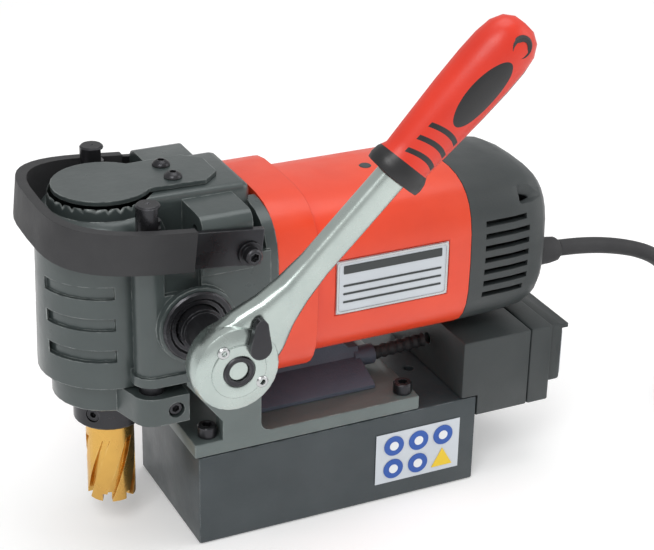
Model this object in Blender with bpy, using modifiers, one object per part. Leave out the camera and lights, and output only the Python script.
"""Magnetic drill press with a horizontal motor and a ratchet feed handle, at rest with its quill up.

Frame: origin at the centre of the magnet's sole, +X towards the motor's rear, -Y towards the ratchet
handle, +Z up. Lengths are in metres.
"""

import math

import bmesh
import bpy
from mathutils import Matrix, Vector

GAP = 0.0003

# Electromagnet base and the casting bolted on it
MAGNET_LENGTH = 0.160
MAGNET_WIDTH = 0.084
MAGNET_HEIGHT = 0.051
PLATE_THICKNESS = 0.008
PLATE_FRONT = -0.082
PLATE_REAR = 0.045
PLATE_TOP = MAGNET_HEIGHT + GAP + PLATE_THICKNESS
UPRIGHT_FRONT = -0.067
UPRIGHT_REAR = -0.046
UPRIGHT_TOP = 0.1007

# Gearbox, quill and cutter, on the vertical spindle axis
SPINDLE_X = -0.112
GEARBOX_RADIUS = 0.0336
GEARBOX_BOTTOM = 0.096
GEARBOX_TOP = 0.1886
GEARBOX_HALF_WIDTH = 0.048
BORE_RADIUS = 0.0262
COVER_TOP = 0.1911
EAR_FRONT = -0.080
EAR_REAR = -0.054
EAR_TOP = 0.1855
EAR_SIDE = 0.0493
WALL_REAR = -0.044
COLLAR_RADIUS = 0.0283
COLLAR_BOTTOM = 0.080
COLLAR_TOP = 0.0955
ARBOR_RADIUS = 0.0182
ARBOR_BOTTOM = 0.063
SHANK_RADIUS = 0.0095
CUTTER_RADIUS = 0.0124
CUTTER_TIP = 0.0175

# Feed: two racks, one pinion shaft behind them
RACK_X = -0.1033
RACK_Y = 0.0396
RACK_RADIUS = 0.006
RACK_TOP = 0.194
FEED_X = -0.0835
FEED_Z = 0.132
FEED_MODULE = 0.00125
FEED_TEETH = 24
FEED_RADIUS = FEED_MODULE * FEED_TEETH / 2
RING_FACE = 0.0535

# Carry strap
STRAP_TILT = math.radians(6.0)
STRAP_PIVOT = Vector((-0.050, 0.0, 0.168))
STRAP_HALF_WIDTH = 0.0511

# Ratchet handle, in the plane of its head
HEAD_RADIUS = 0.0215
HANDLE_ANGLE = math.radians(48.5)
HEAD_FACE = 0.101

# Motor
MOTOR_Z = 0.1327
BODY_HALF = 0.0438
SKIRT_HALF = 0.0478
SKIRT_FRONT = -0.0395
SKIRT_REAR = -0.018
BODY_REAR = 0.070
CAP_REAR = 0.1215
SHELL_WALL = 0.003

# Gears between the motor and the spindle
GEAR_MODULE = 0.001
ARMATURE_TEETH = 8
LAY_TEETH = 34
LAY_Z = MOTOR_Z + GEAR_MODULE * (ARMATURE_TEETH + LAY_TEETH) / 2 + 0.00025
BEVEL_MODULE = 0.00125
BEVEL_TEETH = 12
CROWN_TEETH = 36

# Control box on the magnet's rear end
BOX_FRONT = 0.0707
BOX_REAR = 0.1252
BOX_SEAM = 0.1118
BOX_TOP = 0.0844
BOX_BOTTOM = 0.0389

# Mains cord
CORD_RADIUS = 0.0045
GLAND_Y = -0.022
GLAND_Z = 0.1195
GLAND_END = 0.137
COIL_X = 0.300
COIL_Y = -0.050
COIL_MID = 0.050
COIL_HALF = 0.0135


def collection(name):
    made = bpy.data.collections.new(name)
    bpy.context.scene.collection.children.link(made)
    return made


def material(name, colour, roughness, metallic=0.0):
    made = bpy.data.materials.new(name)
    made.use_nodes = True
    shader = made.node_tree.nodes["Principled BSDF"]
    shader.inputs["Base Color"].default_value = (*colour, 1.0)
    shader.inputs["Roughness"].default_value = roughness
    shader.inputs["Metallic"].default_value = metallic
    return made


for old in list(bpy.data.objects):
    bpy.data.objects.remove(old, do_unlink=True)
PARTS = collection("magnetic_drill_press")
CUTTERS = collection("cutters")

CAST = material("cast_paint", (0.075, 0.095, 0.095), 0.45)
PLATE_PAINT = material("plate_paint", (0.16, 0.20, 0.20), 0.45)
MAGNET_PAINT = material("magnet_paint", (0.055, 0.070, 0.078), 0.5)
CRADLE_PAINT = material("cradle_paint", (0.13, 0.15, 0.20), 0.7)
RED = material("red_plastic", (0.80, 0.055, 0.015), 0.4)
DARK = material("dark_plastic", (0.045, 0.055, 0.055), 0.5)
OXIDE = material("black_oxide_steel", (0.035, 0.035, 0.04), 0.35, 0.7)
STEEL = material("machined_steel", (0.55, 0.56, 0.56), 0.3, 1.0)
CHROME = material("satin_chrome", (0.62, 0.68, 0.65), 0.3, 1.0)
GOLD = material("nitride_gold", (0.70, 0.42, 0.10), 0.3, 1.0)
COPPER = material("copper_winding", (0.55, 0.22, 0.10), 0.4, 1.0)
RUBBER = material("black_rubber", (0.03, 0.03, 0.032), 0.7)
LABEL = material("label_face", (0.65, 0.70, 0.78), 0.4)
GREEN = material("green_button", (0.03, 0.35, 0.08), 0.35)


def keep(obj, paint):
    obj.data.materials.clear()
    obj.data.materials.append(paint)
    PARTS.objects.link(obj)
    return obj


def from_bmesh(name, shape):
    bmesh.ops.recalc_face_normals(shape, faces=shape.faces[:])
    mesh = bpy.data.meshes.new(name)
    shape.to_mesh(mesh)
    shape.free()
    return bpy.data.objects.new(name, mesh)


def baked(obj):
    """The object again as a plain mesh in world space, with its modifiers applied."""
    CUTTERS.objects.link(obj)
    bpy.context.view_layer.update()
    graph = bpy.context.evaluated_depsgraph_get()
    mesh = bpy.data.meshes.new_from_object(obj.evaluated_get(graph))
    mesh.transform(obj.matrix_world)
    name = obj.name
    bpy.data.objects.remove(obj, do_unlink=True)
    shape = bmesh.new()
    shape.from_mesh(mesh)
    bpy.data.meshes.remove(mesh)
    bmesh.ops.remove_doubles(shape, verts=shape.verts[:], dist=1e-6)
    return from_bmesh(name, shape)


def box(name, low, high, bevel=0.0, segments=2):
    shape = bmesh.new()
    bmesh.ops.create_cube(shape, size=1.0)
    middle = [(a + b) / 2 for a, b in zip(low, high)]
    size = [b - a for a, b in zip(low, high)]
    bmesh.ops.scale(shape, vec=size, verts=shape.verts[:])
    bmesh.ops.translate(shape, vec=middle, verts=shape.verts[:])
    made = from_bmesh(name, shape)
    if bevel:
        rounded = made.modifiers.new("Bevel", "BEVEL")
        rounded.width = bevel
        rounded.segments = segments
        rounded.limit_method = "ANGLE"
        made = baked(made)
    return made


def facing(axis, where):
    """Places a shape made along +Z so that it runs along the axis from that point."""
    turn = Vector((0, 0, 1)).rotation_difference(Vector(axis)).to_matrix().to_4x4()
    return Matrix.Translation(where) @ turn


def rod(name, radius, length, axis=(0, 0, 1), where=(0, 0, 0), sides=18, top=None):
    """A cylinder, or a cone where top is given, starting at the point and running along the axis."""
    shape = bmesh.new()
    bmesh.ops.create_cone(
        shape, cap_ends=True, segments=sides, radius1=radius, depth=length,
        radius2=radius if top is None else top,
    )
    bmesh.ops.translate(shape, vec=(0, 0, length / 2), verts=shape.verts[:])
    bmesh.ops.transform(shape, matrix=facing(axis, where), verts=shape.verts[:])
    return from_bmesh(name, shape)


def turned(name, profile, axis=(0, 0, 1), where=(0, 0, 0), steps=18):
    """A profile of (radius, height) points revolved; a closed profile off the axis makes a ring."""
    mesh = bpy.data.meshes.new(name)
    open_ended = profile[0][0] == 0.0 and profile[-1][0] == 0.0
    count = len(profile)
    edges = [(i, (i + 1) % count) for i in range(count - (1 if open_ended else 0))]
    mesh.from_pydata([(r, 0.0, z) for r, z in profile], edges, [])
    made = bpy.data.objects.new(name, mesh)
    made.matrix_world = facing(axis, where)
    screw = made.modifiers.new("Screw", "SCREW")
    screw.steps = steps
    screw.render_steps = steps
    screw.use_merge_vertices = True
    screw.merge_threshold = 0.00001
    return baked(made)


def ring(name, inner, outer, length, axis=(0, 0, 1), where=(0, 0, 0), steps=18):
    profile = [(outer, length), (outer, 0.0), (inner, 0.0), (inner, length)]
    return turned(name, profile, axis, where, steps)


AXIS_TURNS = {
    "Z": Matrix(((1, 0, 0), (0, 1, 0), (0, 0, 1))),
    "Y": Matrix(((1, 0, 0), (0, 0, -1), (0, 1, 0))),
    "X": Matrix(((0, 0, 1), (1, 0, 0), (0, 1, 0))),
}


def sheet(name, outline, axis, low, high):
    """A flat outline as thick as low to high along an axis.

    The outline's points are (x, y) for Z, (x, z) for Y, with low and high counted towards -Y,
    and (y, z) for X.
    """
    curve = bpy.data.curves.new(name, "CURVE")
    curve.dimensions = "2D"
    curve.fill_mode = "BOTH"
    curve.extrude = (high - low) / 2
    spline = curve.splines.new("POLY")
    spline.points.add(len(outline) - 1)
    for point, (u, v) in zip(spline.points, outline):
        point.co = (u, v, 0.0, 1.0)
    spline.use_cyclic_u = True
    made = bpy.data.objects.new(name, curve)
    lift = Matrix.Translation((0, 0, (low + high) / 2))
    made.matrix_world = AXIS_TURNS[axis].to_4x4() @ lift
    return baked(made)


def arc(u, v, radius, start, end, count):
    """Points on an arc, with its angles in degrees."""
    angles = [math.radians(start + (end - start) * i / (count - 1)) for i in range(count)]
    return [(u + radius * math.cos(a), v + radius * math.sin(a)) for a in angles]


def combine(obj, other, operation):
    other.hide_render = True
    other.display_type = "WIRE"
    CUTTERS.objects.link(other)
    joined = obj.modifiers.new(operation.title(), "BOOLEAN")
    joined.operation = operation
    joined.object = other
    made = baked(obj)
    bpy.data.objects.remove(other, do_unlink=True)
    return made


def cut(obj, *others):
    for other in others:
        obj = combine(obj, other, "DIFFERENCE")
    return obj


def add(obj, *others):
    for other in others:
        obj = combine(obj, other, "UNION")
    return obj


def smooth(obj, angle=35.0):
    obj.data.shade_smooth()
    obj.data.set_sharp_from_angle(angle=math.radians(angle))
    return obj


def part(obj, name, paint, pivot=None):
    """Finishes a node: its name, its paint, its shading and the point it turns about."""
    obj.name = name
    obj.data.name = name
    if pivot is not None:
        obj.data.transform(Matrix.Translation(-Vector(pivot)))
        obj.location = pivot
    keep(obj, paint)
    return smooth(obj)


def squircle(half_width, half_height, power, centre, count=32):
    """A rounded square outline as (y, z) points."""
    points = []
    for i in range(count):
        angle = 2 * math.pi * i / count
        c, s = math.cos(angle), math.sin(angle)
        u = half_width * math.copysign(abs(c) ** (2 / power), c)
        v = half_height * math.copysign(abs(s) ** (2 / power), s)
        points.append((u, centre + v))
    return points


def loft(name, sections):
    """A closed body through rings of equally many points, each ring given as (x, y, z)."""
    shape = bmesh.new()
    rings = [[shape.verts.new(p) for p in section] for section in sections]
    count = len(rings[0])
    for near, far in zip(rings, rings[1:]):
        for i in range(count):
            j = (i + 1) % count
            shape.faces.new((near[i], near[j], far[j], far[i]))
    shape.faces.new(rings[0][::-1])
    shape.faces.new(rings[-1])
    return from_bmesh(name, shape)


def cap_screw(where, axis=(0, 0, 1), head=0.005, height=0.006, shank=0.0025, depth=0.010):
    """A socket cap screw whose head stands on the point, with its hexagon socket."""
    up = Vector(axis)
    profile = [
        (0.0, height), (head - 0.0006, height), (head, height - 0.0006), (head, 0.0),
        (shank, 0.0), (shank, -depth), (0.0, -depth),
    ]
    made = turned("screw", profile, axis, where, 12)
    socket = rod("socket", head * 0.55, height, axis, Vector(where) + up * height * 0.45, 6)
    return cut(made, socket)


def button_screw(where, head, height, shank, depth):
    profile = [(0.0, height)]
    profile += [(head * math.sin(math.radians(a)), height * math.cos(math.radians(a)))
                for a in (30, 55, 75, 90)]
    profile += [(shank, 0.0), (shank, -depth), (0.0, -depth)]
    made = turned("screw", profile, (0, 0, 1), where, 12)
    socket = rod("socket", head * 0.4, height, (0, 0, 1), Vector(where) + Vector((0, 0, height * 0.3)), 6)
    return cut(made, socket)


def screw_hole(where, axis=(0, 0, -1), radius=0.0028, depth=0.0125):
    start = Vector(where) - Vector(axis) * 0.001
    return rod("hole", radius, depth, axis, start, 10)


def gear_outline(teeth, module, thickness=0.44, shift=0.0):
    """A straight-sided tooth outline; thickness is the tooth's share of the pitch at the pitch line."""
    pitch = 2 * math.pi / teeth
    radius = module * teeth / 2
    tip, root = radius + module, radius - 1.2 * module
    half_tip = pitch * thickness * 0.27
    half_root = pitch * thickness * 0.80
    points = []
    for i in range(teeth):
        middle = pitch * i + shift
        for angle, r in (
            (middle - half_root, root), (middle - half_tip, tip),
            (middle + half_tip, tip), (middle + half_root, root),
        ):
            points.append((r * math.cos(angle), r * math.sin(angle)))
    return points


def spur(name, teeth, module, width, axis, where, shift=0.0):
    flat = sheet(name, gear_outline(teeth, module, shift=shift), "Z", 0.0, width)
    flat.data.transform(facing(axis, where))
    return flat


def bevel_gear(name, teeth, apex, axis, side, face=0.3, shift=0.0):
    """A toothed frustum whose sides all run to the apex, where the two shafts' axes meet."""
    outline = gear_outline(teeth, BEVEL_MODULE, 0.31, shift)
    place = facing(axis, apex)
    rings = []
    for scale in (1.0, 1.0 - face):
        rings.append([place @ Vector((u * scale, v * scale, side * scale)) for u, v in outline])
    return loft(name, rings)


def magnet():
    half_l, half_w = MAGNET_LENGTH / 2, MAGNET_WIDTH / 2
    body = box("body", (-half_l, -half_w, 0), (half_l, half_w, MAGNET_HEIGHT), 0.0012)

    def track(name, out, low, high, hollow):
        outer = box(name, (-half_l + out, -half_w + out, low), (half_l - out, half_w - out, high))
        inner = box("core", (-half_l + out + hollow, -half_w + out + hollow, low - 0.002),
                    (half_l - out - hollow, half_w - out - hollow, high + 0.002))
        return cut(outer, inner)

    wall, slot = 0.011, 0.016
    body = cut(body, track("slot", wall, -0.003, 0.034, slot))
    body = cut(body, rod("wire_way", 0.003, 0.040, (0, 0, 1), (half_l - wall - slot / 2, 0, 0.030), 12))
    for x in (-0.0725, 0.0385):
        for y in (-0.0345, 0.0345):
            body = cut(body, screw_hole((x, y, MAGNET_HEIGHT), depth=0.014))
    part(body, "magnet_body", MAGNET_PAINT)
    coil = track("coil", wall + 0.0005, 0.007, 0.0335, slot - 0.001)
    part(coil, "magnet_coil", COPPER)


def base_casting():
    half_w = MAGNET_WIDTH / 2
    bottom = MAGNET_HEIGHT + GAP
    body = box("plate", (PLATE_FRONT, -half_w, bottom), (PLATE_REAR, half_w, PLATE_TOP), 0.001)
    corner, depth = 0.005, 0.010
    outline = [(UPRIGHT_FRONT, PLATE_TOP - 0.004), (UPRIGHT_REAR + corner, PLATE_TOP - 0.004)]
    outline += arc(UPRIGHT_REAR + corner, PLATE_TOP + corner, corner, 270, 180, 5)
    outline += [(UPRIGHT_REAR, UPRIGHT_TOP), (-0.086, UPRIGHT_TOP), (-0.086, UPRIGHT_TOP - 0.006),
                (UPRIGHT_FRONT, 0.070)]
    pocket = [(UPRIGHT_FRONT + 0.002, 0.076), (UPRIGHT_FRONT + 0.002, 0.0955), (-0.0795, 0.0955)]
    for low in (-half_w, half_w - depth):
        web = sheet("web", outline, "Y", -low - depth, -low)
        web = cut(web, sheet("pocket", pocket, "Y", -low - depth - 0.001, -low + 0.001))
        body = add(body, web)
    bridge = box("bridge", (-0.062, -half_w + 0.004, 0.0905), (UPRIGHT_REAR, half_w - 0.004, UPRIGHT_TOP))
    body = add(body, bridge)
    for x in (-0.0725, 0.0385):
        for y in (-0.0345, 0.0345):
            body = cut(body, screw_hole((x, y, PLATE_TOP)))
    for y in (-0.0345, 0.0345):
        body = cut(body, rod("relief", 0.0065, 0.05, (0, 0, 1), (-0.0725, y, PLATE_TOP), 12))
    part(body, "base_casting", PLATE_PAINT)
    for x, place in ((-0.0725, "front"), (0.0385, "rear")):
        for y, side in ((-0.0345, "near"), (0.0345, "far")):
            screw = cap_screw((x, y, PLATE_TOP + GAP))
            part(screw, f"base_screw_{place}_{side}", OXIDE)


def cradle():
    """The low saddle under the motor, with the boss that the conduit leaves from."""
    floor = PLATE_TOP + GAP
    outline = [(-0.0255, floor), (-0.0255, floor + 0.0020), (-0.0225, floor + 0.0035),
               (-0.0060, 0.0690), (-0.0045, 0.0725), (-0.0045, 0.0838)]
    outline += [(-y, z) for y, z in reversed(outline)]
    body = sheet("saddle", outline, "X", -0.0430, 0.0270)
    slope = [(-0.0430, 0.092), (0.030, 0.092), (0.030, 0.0745), (0.0215, 0.0745), (0.010, 0.0838)]
    body = cut(body, sheet("slope", slope, "Y", -0.030, 0.030))
    boss = rod("boss", 0.0056, 0.012, (1, 0, 0), (0.0245, -0.0020, 0.0668), 14)
    body = add(body, boss)
    body = cut(body, rod("bore", 0.0034, 0.014, (1, 0, 0), (0.0290, -0.0020, 0.0668), 10))
    part(body, "motor_cradle", CRADLE_PAINT)


def conduit():
    """The corrugated wire sleeve from the cradle to the control box."""
    start, end = Vector((0.0368, -0.0020, 0.0668)), Vector((BOX_FRONT - 0.0006, -0.0020, 0.0688))
    ridges, crest, valley = 7, 0.0041, 0.0033
    length = (end - start).length
    pitch = length / ridges
    outer = []
    for i in range(ridges):
        outer += [(valley, i * pitch), (crest, (i + 0.45) * pitch)]
    profile = [*reversed(outer), (0.0022, outer[0][1]), (0.0022, outer[-1][1])]
    part(turned("conduit", profile, (end - start).normalized(), start, 10), "wire_conduit", RUBBER)


def gearbox():
    top, bottom, radius = GEARBOX_TOP, GEARBOX_BOTTOM, GEARBOX_RADIUS
    profile = [(0.0, top), (0.0255, top), (0.0262, top - 0.0008), (0.0268, 0.1815)]
    profile += [(0.0268 + 0.0066 * math.sin(math.radians(a)), 0.1675 + 0.0140 * math.cos(math.radians(a)))
                for a in (25, 50, 70, 90)]
    profile += [(radius + 0.0012, bottom + 0.004), (radius + 0.0012, bottom), (0.0, bottom)]
    body = turned("barrel", profile, (0, 0, 1), (SPINDLE_X, 0, 0), 34)
    body = add(body, box("block", (-0.104, -0.0235, 0.118), (WALL_REAR, 0.0235, top), 0.004, 3))
    half, column = GEARBOX_HALF_WIDTH, GEARBOX_HALF_WIDTH - RACK_Y
    wall_front = [(WALL_REAR, -half), (WALL_REAR, half)]
    wall_front += arc(RACK_X, RACK_Y, column, 90, 215, 6)
    wall_front += arc(RACK_X, -RACK_Y, column, 145, 270, 6)
    body = add(body, sheet("walls", wall_front, "Z", 0.1010, 0.1630))
    lip = 0.0016
    lip_front = [(EAR_REAR - 0.001, -half - lip), (EAR_REAR - 0.001, half + lip)]
    lip_front += arc(RACK_X, RACK_Y, column + lip, 90, 215, 6)
    lip_front += arc(RACK_X, -RACK_Y, column + lip, 145, 270, 6)
    body = add(body, sheet("lip", lip_front, "Z", 0.1010, 0.1060))
    ear = [(-EAR_SIDE, 0.1560), (-0.0200, 0.1560), (-0.0200, EAR_TOP), (-EAR_SIDE + 0.0060, EAR_TOP)]
    ear += arc(-EAR_SIDE + 0.006, EAR_TOP - 0.006, 0.006, 90, 180, 5)[1:]
    for mirror in (1, -1):
        block = sheet("ear", [(y * mirror, z) for y, z in ear], "X", EAR_FRONT, EAR_REAR)
        body = add(body, block)
    flange = squircle(SKIRT_HALF + 0.0003, SKIRT_HALF - 0.0005, 4.2, MOTOR_Z, 28)
    body = add(body, sheet("flange", flange, "X", UPRIGHT_REAR + GAP, SKIRT_FRONT - GAP))
    for side in (-1, 1):
        boss = rod("boss", 0.0200, 0.006, (0, side, 0), (FEED_X, side * (half - 0.002), FEED_Z), 24)
        body = add(body, boss)

    bore = rod("bore", BORE_RADIUS, 0.190, (0, 0, 1), (SPINDLE_X, 0, bottom - 0.010), 28)
    body = cut(body, bore)
    body = cut(body, box("cavity", (-0.104, -0.0180, 0.1240), (-0.0385, 0.0180, 0.1815)))
    body = cut(body, rod("throat", 0.0390, 0.020, (1, 0, 0), (-0.0560, 0, MOTOR_Z), 24))
    for side in (-1, 1):
        well = rod("well", FEED_RADIUS + 0.0022, 0.030, (0, side, 0), (FEED_X, side * 0.0335, FEED_Z), 24)
        guide = rod("guide", RACK_RADIUS + 0.0005, 0.120, (0, 0, 1), (RACK_X, side * RACK_Y, 0.080), 16)
        body = cut(body, well, guide)
        bolt = rod("bolt_hole", 0.0028, 0.016, (0, -side, 0), (-0.0572, side * 0.0510, 0.1658), 10)
        notch = rod("notch", 0.0036, 0.014, (1, 0, 0), (EAR_FRONT - 0.006, side * 0.0405, 0.1760), 12)
        body = cut(body, bolt, notch)
        recess_low = (-0.0989, side * half - 0.0016, 0.1488)
        recess_high = (-0.0802, side * half + 0.0030, 0.1618)
        body = cut(body, box("recess", recess_low, recess_high))
    body = cut(body, rod("cross_bore", 0.0078, 0.090, (0, 1, 0), (FEED_X, -0.045, FEED_Z), 14))
    for z in (0.1472, 0.1305, 0.1137):
        for side in (-1, 1):
            low_y, high_y = sorted((side * 0.0070, side * 0.0500))
            window = box("window", (-0.1448, low_y, z - 0.005), (-0.1185, high_y, z + 0.005))
            groove = ring("groove", radius - 0.0012, radius + 0.004, 0.0065, (0, 0, 1),
                          (SPINDLE_X, 0, z - 0.00325), 28)
            body = cut(body, combine(groove, window, "INTERSECT"))
    for side in (-1, 1):
        body = cut(body, screw_hole((-0.0784, side * 0.0081, top), radius=0.0023, depth=0.0095))
    part(body, "gearbox_housing", CAST)


def cover():
    """The flat lid on the barrel's neck, with its tail under two button screws."""
    low = GEARBOX_TOP + GAP
    half = 0.0165
    start = math.degrees(math.asin(half / 0.0247))
    outline = arc(SPINDLE_X, 0.0, 0.0247, start, 360 - start, 24)
    outline += [(-0.0648, -half - 0.0006), (-0.0560, -0.0088), (-0.0560, 0.0088), (-0.0648, half + 0.0006)]
    body = sheet("lid", outline, "Z", low, COVER_TOP)
    for y in (-0.0081, 0.0081):
        body = cut(body, screw_hole((-0.0784, y, COVER_TOP), radius=0.0023))
    part(body, "cover_plate", CAST)
    for y, side in ((-0.0081, "near"), (0.0081, "far")):
        screw = button_screw((-0.0784, y, COVER_TOP + GAP), 0.0046, 0.0030, 0.0019, 0.010)
        part(screw, f"cover_screw_{side}", OXIDE)


def strap_path(offset, rear):
    """Half of the strap's plan from the middle of its nose to its rear end, as (x, y) points."""
    half, depth, power = STRAP_HALF_WIDTH + offset, 0.0615 + offset, 3.4
    points = []
    for i in range(13):
        angle = math.pi / 2 * i / 12
        c, s = math.cos(angle) ** (2 / power), math.sin(angle) ** (2 / power)
        points.append((-0.0860 - depth * c, half * s))
    return points + [(rear, half)]


def strap_band(name, inner, outer, low, high, rear):
    """A band along the strap's plan between two offsets, tilted up towards its nose."""
    def loop(offset):
        half = strap_path(offset, rear)
        return [(x, -y) for x, y in reversed(half[1:])] + half

    inside, outside = loop(inner), loop(outer)
    made = sheet(name, outside + inside[::-1], "Z", low, high)
    tilt = Matrix.Rotation(STRAP_TILT, 4, "Y")
    made.data.transform(Matrix.Translation(STRAP_PIVOT) @ tilt @ Matrix.Translation(-STRAP_PIVOT))
    return made


def strap():
    middle = STRAP_PIVOT.z
    band = strap_band("strap", -0.0015, 0.0015, middle - 0.0092, middle + 0.0092, -0.0505)
    for side in (-1, 1):
        band = cut(band, rod("hole", 0.0029, 0.010, (0, side, 0), (-0.0572, side * 0.046, 0.1658), 10))
    part(band, "carry_strap", OXIDE)
    sleeve = strap_band("sleeve", -0.0024, 0.0026, middle - 0.0102, middle + 0.0102, -0.0850)
    hollow = strap_band("hollow", -0.0018, 0.0018, middle - 0.0095, middle + 0.0095, -0.0830)
    part(cut(sleeve, hollow), "strap_sleeve", RUBBER)
    for side, place in ((-1, "near"), (1, "far")):
        out = (0, side, 0)
        face = STRAP_HALF_WIDTH + 0.0015 + GAP
        bolt = cap_screw((-0.0572, side * (face + 0.0009), 0.1658), out, 0.0043, 0.0050, 0.0025, 0.013)
        washer = ring("washer", 0.0020, 0.0062, 0.0010, out, (-0.0572, side * face, 0.1658), 14)
        part(add(bolt, washer), f"strap_bolt_{place}", OXIDE)


def feed():
    for side, place in ((-1, "near"), (1, "far")):
        face = GEARBOX_HALF_WIDTH + 0.004 + GAP
        width = RING_FACE - face
        profile = [(0.0182, 0.0), (0.0182, width - 0.0008), (0.0174, width), (0.0150, width),
                   (0.0138, width - 0.0010), (0.0118, width - 0.0010), (0.0118, 0.0)]
        body = turned("ring", profile[::-1], (0, side, 0), (FEED_X, side * face, FEED_Z), 24)
        part(body, f"shaft_ring_{place}", OXIDE)
    profile = [(0.0, 0.1375), (0.0095, 0.1375), (0.0095, 0.1340), (0.0112, 0.1340), (0.0112, 0.1220),
               (0.0070, 0.1220), (0.0070, 0.0310), (0.0112, 0.0310), (0.0112, 0.0190), (0.0095, 0.0190),
               (0.0095, 0.0), (0.0, 0.0)]
    shaft = turned("shaft", profile[::-1], (0, 1, 0), (FEED_X, -0.0765, FEED_Z), 18)
    width = 0.0118
    for inner in (0.0346, -0.0346 - width):
        toothed = sheet("pinion", gear_outline(FEED_TEETH, FEED_MODULE, 0.40), "Y",
                        -inner - width, -inner)
        toothed.data.transform(Matrix.Translation((FEED_X, 0, FEED_Z)))
        shaft = add(shaft, toothed)
    shaft = cut(shaft, rod("socket", 0.0065, 0.0140, (0, 1, 0), (FEED_X, -0.0790, FEED_Z), 24))
    part(shaft, "feed_shaft", OXIDE, (FEED_X, 0, FEED_Z))


HANDLE_LEAN = math.radians(5.7)
HANDLE_ROOT = Vector((FEED_X, -0.0900, FEED_Z))


def handle_place():
    """The handle's frame: +Z along the bar, +Y away from the machine, at the head's centre."""
    along = Vector((math.cos(HANDLE_ANGLE) * math.cos(HANDLE_LEAN), -math.sin(HANDLE_LEAN),
                    math.sin(HANDLE_ANGLE) * math.cos(HANDLE_LEAN)))
    out = Vector((0, -1, 0))
    out = (out - along * out.dot(along)).normalized()
    across = out.cross(along)
    turn = Matrix((across, out, along)).transposed().to_4x4()
    return Matrix.Translation(HANDLE_ROOT) @ turn


def on_head(along, across, depth):
    """A point on the ratchet head: along and across the handle, at that distance out from the machine."""
    c, s = math.cos(HANDLE_ANGLE), math.sin(HANDLE_ANGLE)
    return Vector((FEED_X + along * c - across * s, -depth, FEED_Z + along * s + across * c))


def ratchet():
    pivot = (FEED_X, 0, FEED_Z)
    back, front, edge = 0.0785, HEAD_FACE, HEAD_RADIUS
    profile = [(0.0, front - back), (edge - 0.0035, front - back), (edge - 0.0008, front - back - 0.0018),
               (edge, front - back - 0.0050), (edge - 0.0010, 0.0080), (edge - 0.0050, 0.0020),
               (edge - 0.0080, 0.0), (0.0, 0.0)]
    head = turned("head", profile, (0, -1, 0), (FEED_X, -back, FEED_Z), 28)
    place = handle_place()
    sections = []
    for along, half, thick, shift in (
        (0.006, 0.0195, 0.0078, 0.0), (0.020, 0.0165, 0.0075, 0.0), (0.032, 0.0118, 0.0070, 0.0),
        (0.045, 0.0088, 0.0066, 0.0), (0.060, 0.0076, 0.0056, 0.0), (0.113, 0.0076, 0.0054, 0.0),
    ):
        ring_points = squircle(half, thick, 2.8, shift, 20)
        sections.append([place @ Vector((u, v, along)) for u, v in ring_points])
    head = add(head, loft("bar", sections))
    drive = rod("drive", 0.0064, 0.0140, (0, 1, 0), (FEED_X, -back - 0.002, FEED_Z), 24)
    head = add(head, drive)
    well = rod("well", 0.0074, 0.0035, (0, 1, 0), (FEED_X, -front - 0.001, FEED_Z), 16)
    bore = rod("bore", 0.0052, 0.0152, (0, 1, 0), (FEED_X, -front - 0.001, FEED_Z), 14)
    lever_hole = rod("lever_hole", 0.0030, 0.0060, (0, 1, 0), on_head(0.0145, 0.0, front + 0.001), 12)
    head = cut(head, well, bore, lever_hole)
    part(head, "ratchet_body", CHROME, pivot)

    profile = [(0.0, 0.204), (0.0060, 0.2035), (0.0110, 0.2005), (0.0142, 0.1950), (0.0155, 0.1870),
               (0.0157, 0.1760), (0.0152, 0.1600), (0.0142, 0.1430), (0.0134, 0.1300), (0.0130, 0.1240),
               (0.0150, 0.1200), (0.0155, 0.1165), (0.0150, 0.1138), (0.0, 0.1138)]
    grip = turned("grip", profile, (0, 0, 1), (0, 0, 0), 20)
    grip.data.transform(Matrix.Diagonal((1.0, 0.80, 1.0, 1.0)))
    grip.data.transform(place)
    part(grip, "ratchet_grip", RED, pivot)

    lever_pivot = on_head(0.0145, 0.0, front)
    tilt = math.radians(88.0)
    reach = Vector((math.cos(tilt), 0, math.sin(tilt)))
    blade = [(0.0054 * math.cos(a), 0.0054 * math.sin(a)) for a in
             [math.radians(i) for i in range(180, 361, 20)]]
    blade += [(0.0030, 0.0125), (0.0012, 0.0148), (-0.0012, 0.0148), (-0.0030, 0.0125)]
    side_way = Vector((reach.z, 0, -reach.x))
    flat = [tuple((side_way * u + reach * v).xz) for u, v in blade]
    lever = sheet("lever", flat, "Y", 0.0, 0.0032)
    lever.data.transform(Matrix.Translation(lever_pivot + Vector((0, -GAP, 0))))
    stem = rod("stem", 0.0025, 0.0045, (0, 1, 0), lever_pivot + Vector((0, -0.001, 0)), 12)
    part(add(lever, stem), "reversing_lever", OXIDE, lever_pivot)

    release = rod("release", 0.0048, 0.0095, (0, 1, 0), (FEED_X, -front + 0.0004, FEED_Z), 14)
    part(release, "release_button", CHROME, (FEED_X, -front, FEED_Z))


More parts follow.
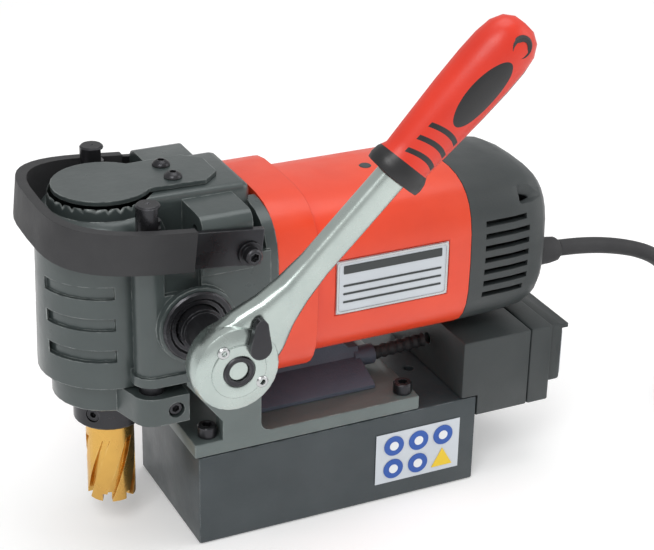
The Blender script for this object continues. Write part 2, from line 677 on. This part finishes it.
def rack(side, place):
    bottom, radius = 0.0825, RACK_RADIUS
    profile = [(0.0, RACK_TOP), (radius - 0.0008, RACK_TOP), (radius, RACK_TOP - 0.0008),
               (radius, bottom), (0.0, bottom)]
    body = turned("rack", profile, (0, 0, 1), (RACK_X, side * RACK_Y, 0), 16)
    body = cut(body, rod("centre", 0.0, 0.0012, (0, 0, 1), (RACK_X, side * RACK_Y, RACK_TOP - 0.0010),
                         12, 0.0013))
    pitch = math.pi * FEED_MODULE
    line = FEED_X - FEED_RADIUS
    tip, root = line + FEED_MODULE, line - 1.25 * FEED_MODULE
    half_tip, half_root = 0.12 * pitch, 0.34 * pitch
    low, high = 0.1160, 0.1925
    start = FEED_Z + pitch * (math.ceil((low - FEED_Z) / pitch - 0.5) + 0.5)
    teeth = int((high - start) / pitch)
    comb = [(tip + 0.003, low), (root, low)]
    for i in range(teeth):
        middle = start + i * pitch
        comb += [(root, middle - half_root), (tip, middle - half_tip), (tip, middle + half_tip),
                 (root, middle + half_root)]
    comb += [(root, high), (tip + 0.003, high)]
    body = cut(body, sheet("comb", comb, "Y", -side * RACK_Y - 0.008, -side * RACK_Y + 0.008))
    part(body, f"rack_{place}", OXIDE)


def quill():
    profile = [(0.0258, 0.1090), (0.0258, COLLAR_TOP), (COLLAR_RADIUS, COLLAR_TOP),
               (COLLAR_RADIUS, COLLAR_BOTTOM + 0.0006), (COLLAR_RADIUS - 0.0006, COLLAR_BOTTOM),
               (0.0, COLLAR_BOTTOM), (0.0, 0.1090)]
    profile = [(0.0, 0.1090), *profile[:-1]]
    body = turned("collar", profile, (0, 0, 1), (SPINDLE_X, 0, 0), 34)
    for side in (-1, 1):
        outer = side * 0.0500
        lug = [(-0.0878, side * 0.0180), (-0.0878, outer)]
        lug += [(x, side * y) for x, y in arc(RACK_X, 0.0396, 0.0104, 90, 175, 6)]
        lug += [(-0.1175, side * 0.0270), (-0.1175, side * 0.0180)]
        body = add(body, sheet("lug", lug, "Z", COLLAR_BOTTOM, COLLAR_TOP - 0.0005))
    profile = [(0.0222, 0.1100), (0.0222, 0.0850), (0.0190, 0.0850), (0.0190, 0.0790), (0.0, 0.0790)]
    body = cut(body, turned("bore", [(0.0, 0.1100), *profile], (0, 0, 1), (SPINDLE_X, 0, 0), 28))
    for side in (-1, 1):
        socket = rod("socket", RACK_RADIUS + GAP, 0.020, (0, 0, 1), (RACK_X, side * RACK_Y, 0.0822), 16)
        seat = rod("seat", 0.0042, 0.0075, (0, -side, 0), (-0.0945, side * 0.0510, 0.0872), 12)
        body = cut(body, socket, seat)
    part(body, "quill_carrier", CAST)
    for side, place in ((-1, "near"), (1, "far")):
        rack(side, place)
        screw = cap_screw((-0.0945, side * 0.0440, 0.0872), (0, side, 0), 0.0037, 0.0046, 0.0, 0.0)
        part(screw, f"lug_screw_{place}", OXIDE)
    profile = [(0.0219, 0.0985), (0.0219, 0.0856), (0.0128, 0.0856), (0.0128, 0.0985)]
    part(turned("bearing", profile, (0, 0, 1), (SPINDLE_X, 0, 0), 24), "quill_bearing", STEEL)


def spindle():
    top = 0.1680
    outer = [(0.0080, top), (0.0080, 0.1000), (0.0125, 0.1000), (0.0125, 0.0835), (ARBOR_RADIUS, 0.0835),
             (ARBOR_RADIUS, ARBOR_BOTTOM + 0.0010), (ARBOR_RADIUS - 0.0010, ARBOR_BOTTOM)]
    inner = [(SHANK_RADIUS + GAP, ARBOR_BOTTOM), (SHANK_RADIUS + GAP, 0.0940), (0.0036, 0.0960),
             (0.0036, top)]
    body = turned("spindle", outer + inner, (0, 0, 1), (SPINDLE_X, 0, 0), 28)
    out = Vector((math.cos(math.radians(-137)), math.sin(math.radians(-137)), 0))
    seat = Vector((SPINDLE_X, 0, 0.0710))
    body = cut(body, rod("thread", 0.0038, 0.0110, -out, seat + out * 0.0190, 12))
    axis = (SPINDLE_X, 0, 0)
    part(body, "spindle_arbor", OXIDE, axis)
    start = seat + out * 0.0102
    plug = rod("plug", 0.0035, 0.0072, out, start, 12)
    plug = cut(plug, rod("hexagon", 0.0018, 0.0040, out, start + out * 0.0050, 6))
    part(plug, "arbor_screw", OXIDE, axis)


def cutter():
    """An annular cutter: six toothed lands round a hollow core, on a plain shank."""
    flutes, top = 6, ARBOR_BOTTOM - GAP
    profile = [(SHANK_RADIUS, 0.0925), (SHANK_RADIUS, top), (CUTTER_RADIUS, top),
               (CUTTER_RADIUS, CUTTER_TIP), (CUTTER_RADIUS - 0.0042, CUTTER_TIP),
               (CUTTER_RADIUS - 0.0042, 0.0560), (0.0036, 0.0585), (0.0036, 0.0925)]
    body = turned("cutter", profile, (0, 0, 1), (SPINDLE_X, 0, 0), 28)
    steps, turn = 6, math.radians(62)
    for i in range(flutes):
        rings = []
        for k in range(steps):
            z = CUTTER_TIP - 0.002 + (0.0555 - CUTTER_TIP) * k / (steps - 1)
            angle = 2 * math.pi * i / flutes + turn * k / (steps - 1)
            way = Matrix.Rotation(angle, 3, "Z")
            deep = CUTTER_RADIUS - 0.0024
            points = [(deep, -0.0018), (CUTTER_RADIUS + 0.001, -0.0026), (CUTTER_RADIUS + 0.001, 0.0020),
                      (deep, 0.0014)]
            rings.append([way @ Vector((x, y, 0)) + Vector((SPINDLE_X, 0, z)) for x, y in points])
        body = cut(body, loft("flute", rings))
    for i in range(flutes):
        gullet = box("gullet", (0.0060, -0.0030, CUTTER_TIP - 0.003), (0.0150, 0.0014, CUTTER_TIP + 0.0042))
        gullet.data.transform(Matrix.Rotation(2 * math.pi * i / flutes + math.radians(2), 4, "Z"))
        gullet.data.transform(Matrix.Translation((SPINDLE_X, 0, 0)))
        body = cut(body, gullet)
    part(body, "annular_cutter", GOLD, (SPINDLE_X, 0, 0))
    profile = [(0.0, 0.1550), (0.0030, 0.1550), (0.0030, 0.0230), (0.0, 0.0200)]
    part(turned("pin", profile, (0, 0, 1), (SPINDLE_X, 0, 0), 10), "pilot_pin", STEEL, (SPINDLE_X, 0, 0))


def drive_train():
    apex = Vector((SPINDLE_X, 0, LAY_Z))
    crown_radius = BEVEL_MODULE * CROWN_TEETH / 2
    pinion_radius = BEVEL_MODULE * BEVEL_TEETH / 2
    crown = bevel_gear("crown", CROWN_TEETH, apex, (0, 0, -1), pinion_radius + 0.0008)
    hub = rod("hub", 0.0150, 0.0300, (0, 0, 1), (SPINDLE_X, 0, LAY_Z - pinion_radius - 0.0292), 20)
    crown = add(crown, hub)
    crown = cut(crown, rod("bore", 0.0084, 0.080, (0, 0, 1), (SPINDLE_X, 0, 0.110), 16))
    part(crown, "spindle_gear", STEEL, (SPINDLE_X, 0, 0))
    bearing = ring("bearing", 0.0153, 0.0258, 0.0075, (0, 0, 1), (SPINDLE_X, 0, 0.1165), 24)
    part(bearing, "spindle_gear_bearing", STEEL)

    half_tooth = math.pi / BEVEL_TEETH
    pinion = bevel_gear("pinion", BEVEL_TEETH, apex, (1, 0, 0), crown_radius, shift=half_tooth)
    shaft = rod("shaft", 0.0048, 0.0460, (1, 0, 0), (SPINDLE_X + crown_radius - 0.002, 0, LAY_Z), 12)
    wheel_at = (-0.0520, 0, LAY_Z)
    wheel = spur("wheel", LAY_TEETH, GEAR_MODULE, 0.0070, (1, 0, 0), wheel_at)
    part(add(pinion, shaft, wheel), "lay_shaft", STEEL, (0, 0, LAY_Z))
    bearing = ring("bearing", 0.0051, 0.0105, 0.0070, (1, 0, 0), (-0.0800, 0, LAY_Z), 16)
    part(bearing, "lay_shaft_bearing", STEEL)

    shaft = rod("shaft", 0.0042, 0.1480, (1, 0, 0), (-0.0440, 0, MOTOR_Z), 12)
    pinion = spur("pinion", ARMATURE_TEETH, GEAR_MODULE, 0.0100, (1, 0, 0), (-0.0535, 0, MOTOR_Z),
                  math.pi / ARMATURE_TEETH)
    core = rod("core", 0.0225, 0.0420, (1, 0, 0), (0.0020, 0, MOTOR_Z), 18)
    winding_front = rod("winding", 0.0190, 0.0090, (1, 0, 0), (-0.0065, 0, MOTOR_Z), 24, 0.0222)
    winding_rear = rod("winding", 0.0222, 0.0090, (1, 0, 0), (0.0435, 0, MOTOR_Z), 24, 0.0160)
    commutator = rod("commutator", 0.0125, 0.0160, (1, 0, 0), (0.0620, 0, MOTOR_Z), 18)
    body = add(shaft, pinion, core, winding_front, winding_rear, commutator)
    part(body, "armature", COPPER, (0, 0, MOTOR_Z))

    fan = rod("disc", 0.0350, 0.0020, (1, 0, 0), (-0.0170, 0, MOTOR_Z), 20)
    fan = add(fan, rod("hub", 0.0085, 0.0085, (1, 0, 0), (-0.0235, 0, MOTOR_Z), 14))
    for i in range(10):
        blade = box("blade", (-0.0225, 0.0110, -0.0008), (-0.0160, 0.0340, 0.0008))
        blade.data.transform(Matrix.Rotation(2 * math.pi * i / 10, 4, "X"))
        blade.data.transform(Matrix.Translation((0, 0, MOTOR_Z)))
        fan = add(fan, blade)
    fan = cut(fan, rod("bore", 0.0045, 0.030, (1, 0, 0), (-0.0300, 0, MOTOR_Z), 12))
    part(fan, "motor_fan", DARK, (0, 0, MOTOR_Z))


def motor_inside():
    stator = ring("stator", 0.0232, 0.0385, 0.0420, (1, 0, 0), (0.0020, 0, MOTOR_Z), 24)
    part(stator, "stator", STEEL)
    bearing = ring("bearing", 0.0045, 0.0130, 0.0070, (1, 0, 0), (-0.0330, 0, MOTOR_Z), 16)
    part(bearing, "motor_bearing_front", STEEL)
    bearing = ring("bearing", 0.0045, 0.0105, 0.0070, (1, 0, 0), (0.0925, 0, MOTOR_Z), 16)
    part(bearing, "motor_bearing_rear", STEEL)
    for side, place in ((-1, "near"), (1, "far")):
        low_y, high_y = sorted((side * 0.0129, side * 0.0330))
        holder = box("brush", (0.0650, low_y, MOTOR_Z - 0.0040), (0.0750, high_y, MOTOR_Z + 0.0040), 0.0008)
        part(holder, f"carbon_brush_{place}", OXIDE)


def motor_shell():
    wall = SHELL_WALL
    skirt = sheet("skirt", squircle(SKIRT_HALF, SKIRT_HALF + 0.0008, 3.6, MOTOR_Z), "X", SKIRT_FRONT, SKIRT_REAR)
    body = sheet("body", squircle(BODY_HALF, BODY_HALF, 3.3, MOTOR_Z), "X", SKIRT_REAR - 0.002, BODY_REAR)
    shell = add(body, skirt)
    inside = BODY_HALF - wall
    hollow = sheet("hollow", squircle(inside, inside, 3.2, MOTOR_Z, 24), "X", SKIRT_FRONT + 0.004, BODY_REAR + 0.01)
    mouth = rod("mouth", 0.0360, 0.010, (1, 0, 0), (SKIRT_FRONT - 0.002, 0, MOTOR_Z), 20)
    shell = cut(shell, hollow, mouth)
    for side in (-1, 1):
        low_y, high_y = sorted((side * (BODY_HALF - 0.0010), side * (BODY_HALF + 0.003)))
        recess = box("recess", (-0.0070, low_y, 0.1175), (0.0575, high_y, 0.1480))
        shell = cut(shell, recess)
    seat = ring("seat", 0.0133, 0.0300, 0.0080, (1, 0, 0), (-0.0335, 0, MOTOR_Z), 20)
    for i in range(3):
        spoke = box("spoke", (-0.0335, -0.0030, 0.0280), (-0.0285, 0.0030, 0.0430))
        spoke.data.transform(Matrix.Rotation(2 * math.pi * i / 3, 4, "X"))
        spoke.data.transform(Matrix.Translation((0, 0, MOTOR_Z)))
        seat = add(seat, spoke)
    shell = add(shell, seat)
    part(shell, "motor_housing", RED)
    face = -BODY_HALF + 0.0007
    plate = box("plate", (-0.0062, face - 0.0006, 0.1183), (0.0567, face, 0.1472))
    part(plate, "nameplate", LABEL)


def end_cap():
    wall = SHELL_WALL
    front, rear = BODY_REAR + GAP, CAP_REAR
    outer, inner = [], []
    for x, share, drop in ((front, 1.0, 0.0), (0.096, 0.985, 0.0), (0.108, 0.95, 0.0005), (0.116, 0.87, 0.001),
                           (0.1198, 0.79, 0.001), (rear, 0.68, 0.001)):
        outer.append([(x, y, z) for y, z in
                      squircle(BODY_HALF * share, BODY_HALF * share, 3.3, MOTOR_Z - drop, 32)])
    for x, share in ((front - 0.001, 0.93), (0.096, 0.91), (0.108, 0.87), (0.1165, 0.74)):
        inner.append([(x, y, z) for y, z in squircle(BODY_HALF * share, BODY_HALF * share, 3.3, MOTOR_Z, 24)])
    cap = cut(loft("cap", outer), loft("inside", inner))
    seat = ring("seat", 0.0108, 0.0140, 0.0260, (1, 0, 0), (0.0910, 0, MOTOR_Z), 18)
    cap = add(cap, seat)
    for side in (-1, 1):
        for i in range(7):
            z = 0.1120 + 0.0067 * i
            long = 0.0985 if 0 < i < 6 else 0.0965
            low_y, high_y = sorted((side * 0.0300, side * 0.0480))
            slot = box("slot", (0.0790, low_y, z - 0.0015), (long + 0.0075, high_y, z + 0.0015))
            cap = cut(cap, slot)
        notch_low, notch_high = sorted((side * 0.0335, side * 0.0500))
        notch = box("notch", (0.1000, notch_low, 0.1585), (0.1300, notch_high, 0.1690), 0.002)
        cap = cut(cap, notch)
    cap = cut(cap, rod("gland_hole", 0.0068, 0.016, (1, 0, 0), (CAP_REAR - 0.010, GLAND_Y, GLAND_Z), 14))
    part(cap, "motor_end_cap", DARK)


def control_box():
    half = MAGNET_WIDTH / 2
    wall = 0.0025

    def shell(name, low_x, high_x, open_at):
        body = box(name, (low_x, -half, BOX_BOTTOM), (high_x, half, BOX_TOP), 0.0012)
        inside_low = low_x + (wall if open_at > 0 else -0.002)
        inside_high = high_x + (0.002 if open_at > 0 else -wall)
        inside = box("inside", (inside_low, -half + wall, BOX_BOTTOM + wall),
                     (inside_high, half - wall, BOX_TOP - wall))
        return cut(body, inside)

    body = shell("body", BOX_FRONT, BOX_SEAM, 1)
    step = box("step", (BOX_FRONT - 0.002, -half - 0.001, BOX_BOTTOM - 0.002),
               (MAGNET_LENGTH / 2 + 0.0006, half + 0.001, MAGNET_HEIGHT + 0.0006))
    shelf = box("shelf", (BOX_FRONT + 0.0005, -half + 0.0005, MAGNET_HEIGHT + 0.0006),
                (MAGNET_LENGTH / 2 + 0.0026, half - 0.0005, MAGNET_HEIGHT + 0.0030))
    riser = box("riser", (MAGNET_LENGTH / 2 + 0.0006, -half + 0.0005, BOX_BOTTOM + 0.0005),
                (MAGNET_LENGTH / 2 + 0.0026, half - 0.0005, MAGNET_HEIGHT + 0.0030))
    body = add(cut(body, step), add(shelf, riser))
    body = cut(body, rod("wire_way", 0.0030, 0.020, (0, 0, 1), (0.0745, 0, 0.045), 12))
    body = cut(body, rod("conduit_hole", 0.0034, 0.012, (1, 0, 0), (BOX_FRONT - 0.005, -0.0020, 0.0688), 10))
    part(body, "control_box", DARK)
    cover = shell("cover", BOX_SEAM + GAP, BOX_REAR, -1)
    window = box("window", (BOX_REAR - 0.006, -0.0330, 0.0530), (BOX_REAR + 0.002, 0.0130, 0.0790))
    part(cut(cover, window), "control_box_cover", DARK)
    board = box("board", (0.0860, -0.0340, 0.0480), (0.0876, 0.0340, 0.0790))
    chips = ((-0.022, 0.0560, 0.008), (0.004, 0.0600, 0.012), (0.024, 0.0600, 0.006))
    for y, z, deep in chips:
        chip = box("chip", (0.0870, y - 0.006, z - 0.006), (0.0876 + deep, y + 0.006, z + 0.008))
        board = add(board, chip)
    part(board, "control_board", GREEN)


def switches():
    front = BOX_REAR + GAP
    rear = front + 0.0085
    body = box("panel", (front, -0.0390, 0.0480), (rear, 0.0190, 0.0820), 0.0020)
    body = add(body, box("hood", (front + 0.0002, -0.0385, 0.0795), (rear + 0.0030, 0.0185, 0.0818)))
    holes = (("start", -0.0250, 0.0640, 0.0068), ("stop", -0.0050, 0.0640, 0.0078))
    for _, y, z, radius in holes:
        body = cut(body, rod("hole", radius + 0.0004, 0.020, (1, 0, 0), (front - 0.005, y, z), 14))
    rocker_at = (0.0110, 0.0640)
    body = cut(body, box("hole", (front - 0.005, rocker_at[0] - 0.0050, rocker_at[1] - 0.0085),
                         (rear + 0.005, rocker_at[0] + 0.0050, rocker_at[1] + 0.0085)))
    part(body, "switch_panel", DARK)
    for name, y, z, radius in holes:
        button = rod("button", radius, 0.0085, (1, 0, 0), (rear - 0.0060, y, z), 14)
        part(button, f"{name}_button", GREEN if name == "start" else RED, (rear, y, z))
    pivot = Vector((rear - 0.0010, rocker_at[0], rocker_at[1]))
    outline = [(-0.0035, -0.0068), (0.0030, -0.0078), (0.0010, 0.0), (0.0030, 0.0078), (-0.0035, 0.0068)]
    rocker = sheet("rocker", [(pivot.x + u, pivot.z + v) for u, v in outline], "Y",
                   -pivot.y - 0.0044, -pivot.y + 0.0044)
    part(rocker, "magnet_rocker", RED, pivot)


def labels():
    half = MAGNET_WIDTH / 2
    low, high = (0.0200, -half - 0.0006, 0.0105), (0.0700, -half - GAP, 0.0405)
    part(box("label", low, high), "safety_label", LABEL)


def smooth_route(knots, per_span):
    """A Catmull-Rom curve through the knots."""
    points = [Vector(p) for p in knots]
    points = [points[0] * 2 - points[1], *points, points[-1] * 2 - points[-2]]
    route = []
    for a, b, c, d in zip(points, points[1:], points[2:], points[3:]):
        for i in range(per_span):
            t = i / per_span
            route.append(0.5 * ((2 * b) + (c - a) * t + (2 * a - 5 * b + 4 * c - d) * t * t
                                + (3 * b - a - 3 * c + d) * t * t * t))
    route.append(points[-2])
    return route


def tube(name, route, radius, resolution):
    curve = bpy.data.curves.new(name, "CURVE")
    curve.dimensions = "3D"
    curve.bevel_depth = radius
    curve.bevel_resolution = resolution
    curve.use_fill_caps = True
    spline = curve.splines.new("POLY")
    spline.points.add(len(route) - 1)
    for point, place in zip(spline.points, route):
        point.co = (*place, 1.0)
    return baked(bpy.data.objects.new(name, curve))


LANDING = COIL_X - 0.0360
CORD_KNOTS = [
    (GLAND_END + GAP, GLAND_Y, GLAND_Z), (0.1500, GLAND_Y, 0.1186), (0.1650, GLAND_Y, 0.1163),
    (0.1810, -0.0215, 0.1120), (0.1960, -0.0205, 0.1060), (0.2090, -0.0190, 0.0975),
    (0.2190, -0.0165, 0.0860), (0.2265, -0.0135, 0.0720), (0.2325, -0.0100, 0.0570),
    (0.2380, -0.0065, 0.0420), (0.2435, -0.0025, 0.0275), (0.2493, 0.0025, 0.0170),
    (0.2560, 0.0070, 0.0105), (LANDING, COIL_Y + 0.0610, 0.0070),
]


def mains_cord():
    start = CAP_REAR - 0.0060
    profile = [(0.0, GLAND_END - start), (0.0050, GLAND_END - start), (0.0066, GLAND_END - start - 0.0020),
               (0.0072, GLAND_END - start - 0.0060), (0.0074, CAP_REAR + GAP - start),
               (0.0064, CAP_REAR + GAP - start), (0.0064, 0.0), (0.0, 0.0)]
    part(turned("gland", profile, (1, 0, 0), (start, GLAND_Y, GLAND_Z), 16), "cord_gland", RUBBER)
    part(tube("cord", smooth_route(CORD_KNOTS, 3), CORD_RADIUS, 1), "mains_cord", RUBBER)
    inner, outer = COIL_MID - COIL_HALF, COIL_MID + COIL_HALF
    height, round_off = 2 * COIL_HALF, 0.004
    profile = [(outer, height - round_off), (outer, round_off), (outer - round_off, 0.0),
               (inner + round_off, 0.0), (inner, round_off), (inner, height - round_off),
               (inner + round_off, height), (outer - round_off, height)]
    part(turned("coil", profile, (0, 0, 1), (COIL_X, COIL_Y, 0), 28), "cord_coil", RUBBER)

    plug_start = (COIL_X - 0.0350, COIL_Y - 0.059, 0.0195)
    profile = [(0.0, 0.0760), (0.0188, 0.0760), (0.0192, 0.0720), (0.0192, 0.0520), (0.0130, 0.0460),
               (0.0085, 0.0400), (0.0058, 0.0120), (CORD_RADIUS, 0.0120), (CORD_RADIUS, 0.0), (0.0, 0.0)]
    plug = turned("plug", profile, (-1, 0, 0), plug_start, 16)
    for y in (-0.0095, 0.0095):
        at = (plug_start[0] - 0.0750, plug_start[1] + y, plug_start[2])
        plug = add(plug, rod("pin", 0.0024, 0.0200, (-1, 0, 0), at, 10))
    part(plug, "mains_plug", RUBBER)


magnet()
base_casting()
cradle()
conduit()
gearbox()
cover()
strap()
feed()
ratchet()
quill()
spindle()
cutter()
drive_train()
motor_inside()
motor_shell()
end_cap()
control_box()
switches()
labels()
mains_cord()
